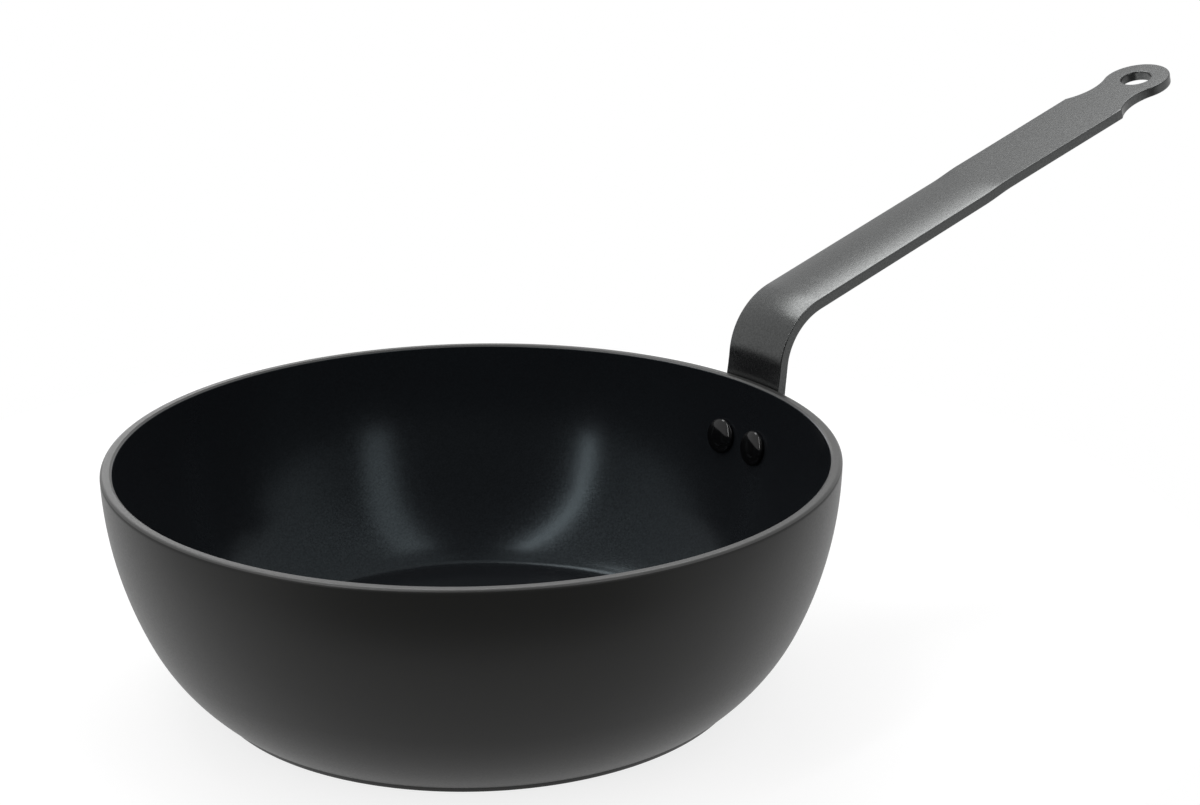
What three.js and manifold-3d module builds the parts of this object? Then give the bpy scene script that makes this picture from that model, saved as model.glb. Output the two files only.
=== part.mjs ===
// A saucier: a pressed aluminium bowl with a steel plate let into its underside and a bent strip
// handle held by two rivets. Millimetres, +Z up. The origin is the middle of the underside, where
// the pan stands, and the handle points along +X.
import * as THREE from "three";
import { mergeVertices } from "three/addons/utils/BufferGeometryUtils.js";
import Module from "manifold-3d";

const wasm = await Module();
wasm.setup();

// Bowl
const RIM_RADIUS = 120; // outside of the wall at the rim
const BOWL_HEIGHT = 78.8; // underside to rim
const WALL = 3.8; // square to the wall
const BELLY_HEIGHT = 26.8; // where the wall's curve tightens
const BELLY_INSET = 11.2; // how far in from the rim the wall has come there
const FOOT_INSET = 30; // how far in from the rim the wall ends, above the foot
const FOOT_HEIGHT = 2.1;
const FOOT_STEP = 0.7; // the foot stands back under the wall
const FOOT_DRAFT = 0.5; // the foot narrows downwards by this much
const FOOT_BEVEL = 0.4; // broken edge round the underside
const FLOOR = 3; // aluminium between the plate and the inside floor
const CORNER = 6.2; // level distance from the wall's lower end in to the floor's edge
const FLOOR_FILLET = 2.4; // length of floor and of wall taken up by the fillet between them
const RIM_OUTER_ROUND = 1.4;
const RIM_INNER_ROUND = 0.5;

// Plate in the underside
const PLATE = 0.8; // thickness
const PLATE_BORDER = 10; // aluminium left round the plate, from the wall's lower end
const PLATE_HOLE_RADIUS = 3;
const PLATE_RING_PITCH = 13; // rings of holes, six more holes in each ring than in the last

// Handle: a strip that starts on the wall, bends out over the rim and rises to an eye
const STRIP = 3.8; // thickness
const STRIP_WIDTH = 27.7;
const STRIP_EDGE = 0.5; // broken edges
const TAIL_WIDTH = 28.6; // the strip widens to this before the eye
const ROOT_LEAN = THREE.MathUtils.degToRad(2.4); // outward lean where the strip leaves the wall
const ROOT_CORNER = 11; // rounding of the root's lower corners
const BEND_RISE = 7; // start of the bend above the rim
const BEND_RADIUS = 25.4; // on the outer side of the bend, which becomes the top of the arm
const ARM_RISE = THREE.MathUtils.degToRad(17.15); // above level
const ARM_REACH = 186.5; // along the arm, from the bend to the middle of the eye
const CROWN = 1.05; // how far the strip's edges lie below its middle where the bend ends
const CROWN_END = 0.65; // how far they lie below it where the crown stops
const CROWN_RUN = 85; // along the arm, from the bend to where the crown stops
const CROWN_FADE = 14; // along the arm, from there to where the face is flat
const EYE_HOLE_RADIUS = 5.9;
const EYE_RING = 7.1; // metal left round the eye's hole
const NECK_INSET = 2.6; // the neck before the eye is narrower than the eye, each side
const NECK_RADIUS = 21.2;

// Rivets
const RIVET_DEPTH = 22.8; // below the rim
const RIVET_SPACING = 18;
const RIVET_MARGIN = 12; // from a rivet's middle to the root's edges
const SHANK_RADIUS = 3;
const INNER_HEAD_RADIUS = 6.2;
const INNER_HEAD_HEIGHT = 2.4;
const OUTER_HEAD_RADIUS = 5.6;
const OUTER_HEAD_HEIGHT = 1.8;
const HEAD_EDGE = 0.5; // upright edge of a head, under its dome
const HEAD_CROWN = 0.12; // share of a head's radius that is flat

const CLEARANCE = 0.3; // between pieces that seat on each other

// Facets
const BOWL_SIDES = 72;
const PLATE_HOLE_SIDES = 6;
const RIVET_SIDES = 24;
const CUT_MARGIN = 2; // how far a cutting tool reaches past what it cuts

// Places worked out from the sizes above
const beltArc = (BELLY_INSET ** 2 + (BOWL_HEIGHT - BELLY_HEIGHT) ** 2) / (2 * BELLY_INSET);
const beltCentre = RIM_RADIUS - beltArc; // the upper wall's arc is centred level with the rim
const wallEnd = RIM_RADIUS - FOOT_INSET;
const plateRadius = wallEnd - PLATE_BORDER;
const floorHeight = PLATE + FLOOR;
const eyeRadius = EYE_HOLE_RADIUS + EYE_RING;

const rivetTilt = Math.asin(RIVET_DEPTH / beltArc);
const rivetWall = beltCentre + beltArc * Math.cos(rivetTilt); // wall radius at the rivets
const rivetTurn = Math.asin(RIVET_SPACING / 2 / rivetWall);

const rootArc = beltArc + CLEARANCE;
const rootAngle = Math.asin((RIVET_DEPTH + RIVET_MARGIN) / rootArc);
const rootWidth = RIVET_SPACING + 2 * RIVET_MARGIN;
const rootRun = rootArc * (rootAngle - ROOT_LEAN);
const leanRun = (rootArc * Math.sin(ROOT_LEAN) + BEND_RISE) / Math.cos(ROOT_LEAN);
const bendTurn = Math.PI / 2 - ROOT_LEAN - ARM_RISE;
const bendStart = rootRun + leanRun;
const armStart = bendStart + BEND_RADIUS * bendTurn;
const crownStop = armStart + CROWN_RUN;
const flatStart = crownStop + CROWN_FADE;
const stripEnd = armStart + ARM_REACH + eyeRadius;

const finish = (color, roughness, metalness) =>
  new THREE.MeshStandardMaterial({ color, roughness, metalness });
const LACQUER = finish(0x2a2a29, 0.5, 0.1);
const POWDER_COAT = finish(0x3a3b3c, 0.6, 0);
const BLACK_RIVET = finish(0x1d1d1e, 0.45, 0.2);
const STEEL = finish(0xb4b5b3, 0.35, 1);

function solidOf(geometry) {
  geometry.deleteAttribute("normal");
  geometry.deleteAttribute("uv");
  const merged = mergeVertices(geometry, 1e-4);
  return new wasm.Manifold(
    new wasm.Mesh({
      numProp: 3,
      vertProperties: merged.attributes.position.array,
      triVerts: new Uint32Array(merged.index.array),
    }),
  );
}

function geometryOf(solid) {
  const { vertProperties, triVerts } = solid.getMesh();
  const geometry = new THREE.BufferGeometry();
  geometry.setAttribute("position", new THREE.BufferAttribute(vertProperties, 3));
  geometry.setIndex(new THREE.BufferAttribute(triVerts, 1));
  geometry.computeVertexNormals();
  return geometry;
}

function piece(name, geometry, material) {
  const mesh = new THREE.Mesh(geometry, material);
  mesh.name = name;
  return mesh;
}

const point = (x, y) => new THREE.Vector2(x, y);
const steps = (count) => Array.from({ length: count + 1 }, (_, i) => i / count);
const ring = (radius, sides, x = 0, y = 0) =>
  steps(sides)
    .slice(1)
    .map((t) => 2 * Math.PI * t)
    .map((a) => point(x + radius * Math.cos(a), y + radius * Math.sin(a)));

// The arc that leaves start with the given heading and ends at end, without its start.
function arcTo(start, heading, end, count) {
  const chord = end.clone().sub(start);
  const swing = Math.atan2(chord.y, chord.x) - heading;
  const half = Math.atan2(Math.sin(swing), Math.cos(swing));
  const reach = (t) => (half ? Math.sin(half * t) / Math.sin(half) : t) * chord.length();
  const points = steps(count)
    .slice(1)
    .map((t) => start.clone().add(point(reach(t), 0).rotateAround(point(0, 0), heading + half * t)));
  return { points, heading: heading + 2 * half };
}

// The wall's cross-section runs from the middle of the underside, out round the foot, up the
// outside, over the rim and down the inside to the middle of the floor.
function bowlProfile() {
  const down = -Math.PI / 2;
  const recess = plateRadius + CLEARANCE;
  const foot = wallEnd - FOOT_STEP;
  const underside = [
    point(0, PLATE),
    point(recess, PLATE),
    point(recess, 0),
    point(foot - FOOT_DRAFT - FOOT_BEVEL, 0),
    point(foot - FOOT_DRAFT, FOOT_BEVEL),
    point(foot, FOOT_HEIGHT - FOOT_STEP / 2),
  ];

  const rimEdge = point(RIM_RADIUS, BOWL_HEIGHT);
  const belly = point(RIM_RADIUS - BELLY_INSET, BELLY_HEIGHT);
  const outerUpper = arcTo(rimEdge, down, belly, 6);
  const outerLower = arcTo(belly, outerUpper.heading, point(wallEnd, FOOT_HEIGHT), 6);
  const outside = [...outerUpper.points, ...outerLower.points].reverse();

  const rim = [
    point(RIM_RADIUS, BOWL_HEIGHT - RIM_OUTER_ROUND),
    ...arcTo(
      point(RIM_RADIUS, BOWL_HEIGHT - RIM_OUTER_ROUND),
      Math.PI / 2,
      point(RIM_RADIUS - RIM_OUTER_ROUND, BOWL_HEIGHT),
      3,
    ).points,
    point(RIM_RADIUS - WALL + RIM_INNER_ROUND, BOWL_HEIGHT),
    point(RIM_RADIUS - WALL, BOWL_HEIGHT - RIM_INNER_ROUND),
  ];

  const square = outerUpper.heading - Math.PI / 2; // from the belly in through the wall
  const innerBelly = belly.clone().add(point(WALL * Math.cos(square), WALL * Math.sin(square)));
  const innerUpper = arcTo(point(RIM_RADIUS - WALL, BOWL_HEIGHT), down, innerBelly, 5);
  const floorEdge = point(wallEnd - CORNER, floorHeight);
  const innerLower = arcTo(innerBelly, innerUpper.heading, floorEdge, 6);
  const filletTop = floorEdge
    .clone()
    .sub(point(FLOOR_FILLET, 0).rotateAround(point(0, 0), innerLower.heading));
  const filletEnd = point(floorEdge.x - FLOOR_FILLET, floorHeight);
  const inside = [
    ...innerUpper.points,
    ...innerLower.points.slice(0, -1),
    filletTop,
    ...arcTo(filletTop, innerLower.heading, filletEnd, 3).points,
    point(0, floorHeight),
  ];
  return [...underside, ...outside, ...rim, ...inside];
}

// A rivet's frame: its middle on the outside of the wall and +Y square out of the wall.
function rivetFrame(side) {
  const turned = new THREE.Matrix4().makeRotationZ(side * rivetTurn);
  const seat = new THREE.Matrix4().makeRotationFromEuler(
    new THREE.Euler(0, rivetTilt, -Math.PI / 2, "YXZ"),
  );
  seat.setPosition(rivetWall, 0, BOWL_HEIGHT - RIVET_DEPTH);
  return turned.multiply(seat);
}

function rivetHoles() {
  const length = 2 * (WALL + STRIP + CUT_MARGIN);
  const [left, right] = [1, -1].map((side) =>
    solidOf(
      new THREE.CylinderGeometry(
        SHANK_RADIUS + CLEARANCE,
        SHANK_RADIUS + CLEARANCE,
        length,
        RIVET_SIDES,
      ).applyMatrix4(rivetFrame(side)),
    ),
  );
  return left.add(right);
}

function bowl() {
  const turned = new THREE.LatheGeometry(bowlProfile(), BOWL_SIDES).rotateX(Math.PI / 2);
  return piece("bowl", geometryOf(solidOf(turned).subtract(rivetHoles())), LACQUER);
}

function basePlate() {
  const disc = new THREE.Shape(ring(plateRadius, BOWL_SIDES));
  const rings = Math.floor((plateRadius - 2 * PLATE_HOLE_RADIUS) / PLATE_RING_PITCH);
  for (let row = 1; row <= rings; row++) {
    for (const hole of ring(row * PLATE_RING_PITCH, 6 * row)) {
      disc.holes.push(new THREE.Path(ring(PLATE_HOLE_RADIUS, PLATE_HOLE_SIDES, hole.x, hole.y)));
    }
  }
  const plate = new THREE.ExtrudeGeometry(disc, { depth: PLATE, bevelEnabled: false });
  return piece("base_plate", plate, STEEL);
}

// The strip's face at a length along it: the side that lies on the wall and turns up into the top
// of the arm. The back of the strip is to the right of its heading.
function faceAt(run) {
  if (run < rootRun) {
    const angle = rootAngle - run / rootArc;
    const x = beltCentre + rootArc * Math.cos(angle);
    return { x, z: BOWL_HEIGHT - rootArc * Math.sin(angle), heading: Math.PI / 2 - angle };
  }
  const leave = Math.PI / 2 - ROOT_LEAN;
  const up = Math.min(run, bendStart) - rootRun;
  const x = beltCentre + rootArc * Math.cos(ROOT_LEAN) + up * Math.cos(leave);
  const z = BOWL_HEIGHT - rootArc * Math.sin(ROOT_LEAN) + up * Math.sin(leave);
  if (run < bendStart) {
    return { x, z, heading: leave };
  }
  const heading = leave - (Math.min(run, armStart) - bendStart) / BEND_RADIUS;
  const along = Math.max(run - armStart, 0);
  return {
    x: x + BEND_RADIUS * (Math.sin(leave) - Math.sin(heading)) + along * Math.cos(heading),
    z: z + BEND_RADIUS * (Math.cos(heading) - Math.cos(leave)) + along * Math.sin(heading),
    heading,
  };
}

function stripWidth(run) {
  const { smoothstep, lerp } = THREE.MathUtils;
  const flare = lerp(rootWidth, STRIP_WIDTH, smoothstep(run, RIVET_MARGIN, rootRun));
  const corner = Math.max(ROOT_CORNER - run, 0);
  const rounding = ROOT_CORNER - Math.sqrt(ROOT_CORNER ** 2 - corner ** 2);
  const tail = smoothstep(run, flatStart, armStart + ARM_REACH - eyeRadius);
  return flare - 2 * rounding + (TAIL_WIDTH - STRIP_WIDTH) * tail;
}

// One cross-section of the strip: a row of points on its face and a row on its back. On the wall it
// wraps round the bowl, the bend crowns its face, and part way along the arm the face is flat.
function stripSection(run) {
  const { smoothstep, lerp, clamp } = THREE.MathUtils;
  const { x, z, heading } = faceAt(run);
  const half = stripWidth(run) / 2;
  const wrap = 1 - smoothstep(run, rootRun, bendStart);
  const taper = lerp(CROWN, CROWN_END, clamp((run - armStart) / CROWN_RUN, 0, 1));
  const crown =
    taper * smoothstep(run, rootRun, armStart) * (1 - smoothstep(run, crownStop, flatStart));
  const flat = steps(5).map((t) => (2 * t - 1) * (half - STRIP_EDGE));
  const place = (across, depth) => {
    const reach = x + depth * Math.sin(heading);
    const turn = across / x;
    const below = depth + crown * (across / half) ** 2;
    return new THREE.Vector3(
      lerp(x + below * Math.sin(heading), reach * Math.cos(turn), wrap),
      lerp(across, reach * Math.sin(turn), wrap),
      z - lerp(below, depth, wrap) * Math.cos(heading),
    );
  };
  const row = (depth, edgeDepth) => [
    place(-half, edgeDepth),
    ...flat.map((across) => place(across, depth)),
    place(half, edgeDepth),
  ];
  return { face: row(0, STRIP_EDGE), back: row(STRIP, STRIP - STRIP_EDGE) };
}

function stripGeometry() {
  const spread = (from, to, count) => steps(count).map((t) => from + (to - from) * t);
  const runs = new Set([
    ...steps(5).map((t) => ROOT_CORNER * (1 - Math.cos((Math.PI / 2) * t))),
    ...spread(ROOT_CORNER, rootRun, 7),
    ...spread(rootRun, bendStart, 2),
    ...spread(bendStart, armStart, 10),
    ...spread(armStart, crownStop, 5),
    ...spread(crownStop, flatStart, 3),
    ...spread(flatStart, stripEnd, 5),
  ]);
  const loops = [...runs]
    .map(stripSection)
    .map(({ face, back }) => [...face, ...back.reverse()]);
  const around = loops[0].length;
  const index = [];
  const quad = (a, b, c, d) => index.push(a, c, b, a, d, c);
  for (let i = 0; i + 1 < loops.length; i++) {
    for (let j = 0; j < around; j++) {
      const next = (j + 1) % around;
      const [low, high] = [i * around, (i + 1) * around];
      quad(low + j, low + next, high + next, high + j);
    }
  }
  const last = (loops.length - 1) * around;
  for (let j = 0; j + 1 < around / 2; j++) {
    const across = around - 1 - j;
    quad(j, across, across - 1, j + 1);
    quad(last + j, last + j + 1, last + across - 1, last + across);
  }
  const geometry = new THREE.BufferGeometry().setFromPoints(loops.flat());
  geometry.setIndex(index);
  return geometry;
}

// What is punched off the arm's end: everything round the neck and the eye, and the eye's hole.
// Laid out flat from the end of the bend, along the arm and across it.
function tailOffcut() {
  const neckSide = eyeRadius - NECK_INSET + NECK_RADIUS; // from the arm's middle to the neck's arc
  const neckBack = Math.sqrt((eyeRadius + NECK_RADIUS) ** 2 - neckSide ** 2);
  const neckAlong = ARM_REACH - neckBack;
  const edge = TAIL_WIDTH / 2;
  const sweep = Math.atan2(neckBack, neckSide); // where the neck's arc runs into the eye's
  const corner = Math.asin((neckSide - edge) / NECK_RADIUS);
  const outer = edge + CUT_MARGIN;
  const end = ARM_REACH + eyeRadius + CUT_MARGIN;
  const start = neckAlong - NECK_RADIUS * Math.cos(corner);
  const shape = new THREE.Shape();
  shape.moveTo(start, outer);
  shape.absarc(neckAlong, neckSide, NECK_RADIUS, Math.PI + corner, 1.5 * Math.PI + sweep, false);
  shape.absarc(ARM_REACH, 0, eyeRadius, Math.PI / 2 + sweep, -Math.PI / 2 - sweep, true);
  shape.absarc(neckAlong, -neckSide, NECK_RADIUS, Math.PI / 2 - sweep, Math.PI - corner, false);
  shape.lineTo(start, -outer);
  shape.lineTo(end, -outer);
  shape.lineTo(end, outer);
  return [shape, new THREE.Shape(ring(EYE_HOLE_RADIUS, RIVET_SIDES, ARM_REACH))];
}

function handle() {
  const arm = faceAt(armStart);
  const onArm = new THREE.Matrix4().makeRotationY(-ARM_RISE).setPosition(arm.x, 0, arm.z);
  let strip = solidOf(stripGeometry()).subtract(rivetHoles());
  for (const shape of tailOffcut()) {
    const punch = new THREE.ExtrudeGeometry(shape, {
      depth: STRIP + 2 * CUT_MARGIN,
      bevelEnabled: false,
      curveSegments: 10,
    });
    punch.translate(0, 0, -STRIP - CUT_MARGIN).applyMatrix4(onArm);
    strip = strip.subtract(solidOf(punch));
  }
  return piece("handle", geometryOf(strip), POWDER_COAT);
}

// Half of a head's outline, from its upright edge over the dome to its flat crown.
function headOutline(radius, height) {
  const crown = radius * HEAD_CROWN;
  return steps(4)
    .map((t) => (Math.PI / 2) * t)
    .map((a) =>
      point(
        crown + (radius - crown) * Math.cos(a),
        HEAD_EDGE + (height - HEAD_EDGE) * Math.sin(a),
      ),
    );
}

function rivet(name, side) {
  const sag = INNER_HEAD_RADIUS ** 2 / (2 * (rivetWall - WALL)); // a flat head in the round wall
  const inner = -(WALL + CLEARANCE + sag);
  const outer = STRIP + 2 * CLEARANCE;
  const innerHead = headOutline(INNER_HEAD_RADIUS, INNER_HEAD_HEIGHT).reverse();
  const outerHead = headOutline(OUTER_HEAD_RADIUS, OUTER_HEAD_HEIGHT);
  const outline = [
    point(0, inner - INNER_HEAD_HEIGHT),
    ...innerHead.map((p) => point(p.x, inner - p.y)),
    point(INNER_HEAD_RADIUS, inner),
    point(SHANK_RADIUS, inner),
    point(SHANK_RADIUS, outer),
    point(OUTER_HEAD_RADIUS, outer),
    ...outerHead.map((p) => point(p.x, outer + p.y)),
    point(0, outer + OUTER_HEAD_HEIGHT),
  ];
  const mesh = piece(name, new THREE.LatheGeometry(outline, RIVET_SIDES), BLACK_RIVET);
  mesh.applyMatrix4(rivetFrame(side));
  return mesh;
}

const saucier = new THREE.Group();
saucier.add(bowl(), basePlate(), handle(), rivet("rivet_left", 1), rivet("rivet_right", -1));

export default saucier;
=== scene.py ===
"""A saucier: a black lacquered bowl, a perforated steel plate in its base and a riveted strip handle.

Laid out as an add-on: the sizes and finishes are properties, each piece has its operator, and main()
builds them all. Metres, +Z up. The origin is the middle of the underside, where the pan stands, and the
handle points along +X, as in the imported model.
"""

from math import asin, atan2, cos, pi, radians, sin, sqrt
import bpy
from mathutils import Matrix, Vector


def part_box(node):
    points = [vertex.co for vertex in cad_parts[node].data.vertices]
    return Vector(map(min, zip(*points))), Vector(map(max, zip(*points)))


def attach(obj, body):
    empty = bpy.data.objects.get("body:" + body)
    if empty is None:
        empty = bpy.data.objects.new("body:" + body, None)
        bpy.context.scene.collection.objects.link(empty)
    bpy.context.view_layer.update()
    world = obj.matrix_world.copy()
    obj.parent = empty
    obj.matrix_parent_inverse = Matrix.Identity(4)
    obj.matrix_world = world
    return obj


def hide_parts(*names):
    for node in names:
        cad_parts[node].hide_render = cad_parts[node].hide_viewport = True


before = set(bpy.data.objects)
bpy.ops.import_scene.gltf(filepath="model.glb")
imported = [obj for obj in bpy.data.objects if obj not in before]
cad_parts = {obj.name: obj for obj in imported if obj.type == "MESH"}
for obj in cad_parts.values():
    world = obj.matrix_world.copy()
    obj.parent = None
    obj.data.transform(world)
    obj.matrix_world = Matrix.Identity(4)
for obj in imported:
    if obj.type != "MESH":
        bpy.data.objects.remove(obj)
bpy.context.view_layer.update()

from types import SimpleNamespace

import bmesh
import bpy
from bpy.props import FloatProperty, FloatVectorProperty, IntProperty, PointerProperty
from mathutils import Matrix, Vector

bl_info = {
    "name": "Saucier",
    "version": (1, 0, 0),
    "blender": (4, 5, 0),
    "location": "3D View > Sidebar > Saucier",
    "description": "Builds a riveted saucier pan, piece by piece, with its studio",
    "category": "Add Mesh",
}

MM = 0.001
LATHE = 1 * MM  # radius of the ring that profiles are turned on
WELD = 0.001 * MM  # points closer together than this are one
ARC_STEPS = 24  # facets along a long curve
ROUND_STEPS = 8  # along a small rounding of the bowl
DOME_STEPS = 12  # over a rivet's head, or round a corner of the handle's root
EYE_STEPS = 40  # round half of the hanging eye
EYE_HOLE_SIDES = 72
PLATE_SIDES = 192
PERFORATION_SIDES = 20
PATTERN_RANGE = (0.3, 0.7)  # where most of a pattern's values lie
BOWL_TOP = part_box("bowl")[1]
PLATE_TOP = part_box("base_plate")[1]


def linear(code):
    """A hex sRGB colour as linear red, green, blue and alpha."""
    shares = [int(code[i : i + 2], 16) / 255 for i in (1, 3, 5)]
    return (*(c / 12.92 if c <= 0.04045 else ((c + 0.055) / 1.055) ** 2.4 for c in shares), 1.0)


def length(name, description, metres):
    """A property for a length."""
    return FloatProperty(name=name, description=description, default=metres, unit="LENGTH", precision=5)


def angle(name, description, degrees):
    """A property for an angle."""
    return FloatProperty(name=name, description=description, default=radians(degrees), unit="ROTATION")


def colour(name, description, code):
    """A property for a colour."""
    return FloatVectorProperty(
        name=name, description=description, default=linear(code), size=4, subtype="COLOR", min=0, max=1
    )


class BowlSizes(bpy.types.PropertyGroup):
    """Sizes of the bowl"""

    rim_radius: length("Rim radius", "Outside of the wall at the rim", BOWL_TOP.x)
    height: length("Height", "Underside to rim", BOWL_TOP.z)
    wall: length("Wall", "Thickness square to the wall", 3.8 * MM)
    belly_height: length("Belly height", "Where the wall's curve tightens", 26.8 * MM)
    belly_inset: length("Belly inset", "How far in from the rim the wall has come there", 11.2 * MM)
    foot_inset: length("Foot inset", "How far in from the rim the wall ends, above the foot", 30 * MM)
    foot_height: length("Foot height", "Underside to the wall's lower end", 2.1 * MM)
    foot_step: length("Foot step", "How far the foot stands back under the wall", 0.7 * MM)
    foot_draft: length("Foot draft", "How much the foot narrows downwards", 0.5 * MM)
    foot_bevel: length("Foot bevel", "Broken edge round the underside", 0.4 * MM)
    floor: length("Floor", "Aluminium between the plate and the inside floor", 3 * MM)
    corner: length("Corner", "Level distance from the wall's lower end in to the floor's edge", 6.2 * MM)
    floor_fillet: length("Floor fillet", "Length of floor and of wall taken up by the fillet", 2.4 * MM)
    rim_outer_round: length("Rim outer round", "Rounding of the rim's outer edge", 1.4 * MM)
    rim_slope: length("Rim slope", "Width of the rim's inner part, which slopes inwards", 0.8 * MM)
    rim_fall: length("Rim fall", "How far it falls, steeply enough to leave a crease", 0.5 * MM)
    rim_edge: length("Rim edge", "Broken edge between the rim's top and the inside", 0.15 * MM)
    sides: IntProperty(name="Sides", description="Facets round the bowl", default=288, min=24)


class PlateSizes(bpy.types.PropertyGroup):
    """Sizes of the steel plate in the underside"""

    radius: length("Radius", "Outside of the plate", PLATE_TOP.x)
    thickness: length("Thickness", "Thickness of the plate", PLATE_TOP.z)
    hole_radius: length("Hole radius", "Radius of each perforation", 3 * MM)
    ring_pitch: length("Ring pitch", "From one ring of perforations to the next", 13 * MM)


class HandleSizes(bpy.types.PropertyGroup):
    """Sizes of the strip handle"""

    thickness: length("Thickness", "Thickness of the strip", 3.8 * MM)
    width: length("Width", "Width of the arm", 27.7 * MM)
    edge: length("Edge", "Rounding of the strip's edges", 0.5 * MM)
    tail_width: length("Tail width", "Width that the strip reaches before the eye", 28.6 * MM)
    root_lean: angle("Root lean", "Outward lean where the strip leaves the wall", 2.4)
    root_corner: length("Root corner", "Rounding of the root's lower corners", 11 * MM)
    bend_rise: length("Bend rise", "Start of the bend above the rim", 7 * MM)
    bend_radius: length("Bend radius", "Radius on the side that becomes the arm's top", 25.4 * MM)
    arm_rise: angle("Arm rise", "Rise of the arm above level", 17.15)
    arm_reach: length("Arm reach", "Along the arm, from the bend to the middle of the eye", 186.5 * MM)
    crown: length("Crown", "How far the strip's edges lie below its middle where the bend ends", 1.05 * MM)
    crown_end: length("Crown end", "How far they lie below it where the crown stops", 0.65 * MM)
    crown_run: length("Crown run", "Along the arm, from the bend to where the crown stops", 85 * MM)
    crown_fade: length("Crown fade", "From where the crown stops to where the face is flat", 14 * MM)
    eye_hole_radius: length("Eye hole radius", "Radius of the hanging hole", 5.9 * MM)
    eye_ring: length("Eye ring", "Metal left round the hanging hole", 7.1 * MM)
    neck_inset: length("Neck inset", "How much narrower the neck is than the eye, each side", 2.6 * MM)
    neck_radius: length("Neck radius", "Radius of the neck's curves", 21.2 * MM)


class RivetSizes(bpy.types.PropertyGroup):
    """Sizes of the two rivets"""

    depth: length("Depth", "Middle of a rivet below the rim", 22.8 * MM)
    spacing: length("Spacing", "From rivet to rivet", 18 * MM)
    margin: length("Margin", "From a rivet's middle to the root's edges", 12 * MM)
    shank_radius: length("Shank radius", "Radius of a shank", 3 * MM)
    inner_head_radius: length("Inner head radius", "Radius of a head in the bowl", 6.2 * MM)
    inner_head_height: length("Inner head height", "Height of a head in the bowl", 2.4 * MM)
    outer_head_radius: length("Outer head radius", "Radius of a head on the strip", 5.6 * MM)
    outer_head_height: length("Outer head height", "Height of a head on the strip", 1.8 * MM)
    head_edge: length("Head edge", "Upright edge of a head, under its dome", 0.5 * MM)
    head_crown: FloatProperty(
        name="Head crown",
        description="Share of a head's radius that is flat",
        default=0.12,
        subtype="FACTOR",
    )
    clearance: length("Clearance", "Between pieces that seat on each other", 0.3 * MM)
    sides: IntProperty(name="Sides", description="Facets round a rivet", default=64, min=12)


class Finishes(bpy.types.PropertyGroup):
    """Colours of the finishes"""

    lacquer: colour("Lacquer", "Matte lacquer outside the bowl", "#262625")
    non_stick: colour("Non-stick", "Non-stick coat inside the bowl", "#1b1d20")
    powder_coat: colour("Powder coat", "Powder coat on the handle", "#1e1e1f")
    rivet_coat: colour("Rivet coat", "Coat on the rivets", "#0d0d0e")
    steel: colour("Steel", "Plate in the underside", "#b8b7b4")
    aluminium: colour("Aluminium", "Turned underside", "#c9c9c7")
    paper: colour("Paper", "Floor's paper, as it lights the pan", "#8c8c8c")


class StudioSizes(bpy.types.PropertyGroup):
    """Places of the camera and the floor"""

    camera_distance: length("Camera distance", "Level distance from the pan's axis", 740.894 * MM)
    camera_height: length("Camera height", "Height above the floor", 338.171 * MM)
    camera_turn: angle("Camera turn", "Turn of its place about the pan, from across the handle", 34.2)
    camera_yaw: angle("Camera yaw", "Turn of its aim to the right of the pan's axis", 3.1964)
    camera_pitch: angle("Camera pitch", "Dip of its aim", 18.2345)
    camera_roll: angle("Camera roll", "Roll about its aim", -0.2421)
    lens: FloatProperty(name="Lens", description="Focal length in millimetres", default=72, unit="CAMERA")
    floor_radius: length("Floor radius", "Radius of the floor's paper", 0.28)
    floor_front: length("Floor front", "From the pan's axis to the paper's edge, on the camera's side", 0.19)
    floor_cut: length("Floor cut", "Radius of the cut in the paper under the pan's foot", 88 * MM)
    floor_glow: FloatProperty(
        name="Floor glow", description="What the paper adds to its lit colour, to look white", default=0.8
    )


class Saucier(bpy.types.PropertyGroup):
    """All that can be changed on the saucier"""

    bowl: PointerProperty(type=BowlSizes)
    plate: PointerProperty(type=PlateSizes)
    handle: PointerProperty(type=HandleSizes)
    rivet: PointerProperty(type=RivetSizes)
    finish: PointerProperty(type=Finishes)
    studio: PointerProperty(type=StudioSizes)


def add_node(tree, kind, inputs=None, **settings):
    """Add a node: settings are its own, and inputs fill its sockets by a value or by an output to link."""
    made = tree.nodes.new(kind)
    for name, value in settings.items():
        setattr(made, name, value)
    for socket, value in (inputs or {}).items():
        if isinstance(value, bpy.types.NodeSocket):
            tree.links.new(value, made.inputs[socket])
        else:
            made.inputs[socket].default_value = value
    return made


def per_mm(size):
    """The texture scale on Object coordinates that gives a pattern of this size in millimetres."""
    return 1 / (size * MM)


def principled(name):
    """A new material, its node tree, its shader and the Object coordinates that its patterns lie on."""
    material = bpy.data.materials.new(name)
    material.use_nodes = True
    tree = material.node_tree
    place = add_node(tree, "ShaderNodeTexCoord").outputs["Object"]
    return material, tree, tree.nodes["Principled BSDF"], place


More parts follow.
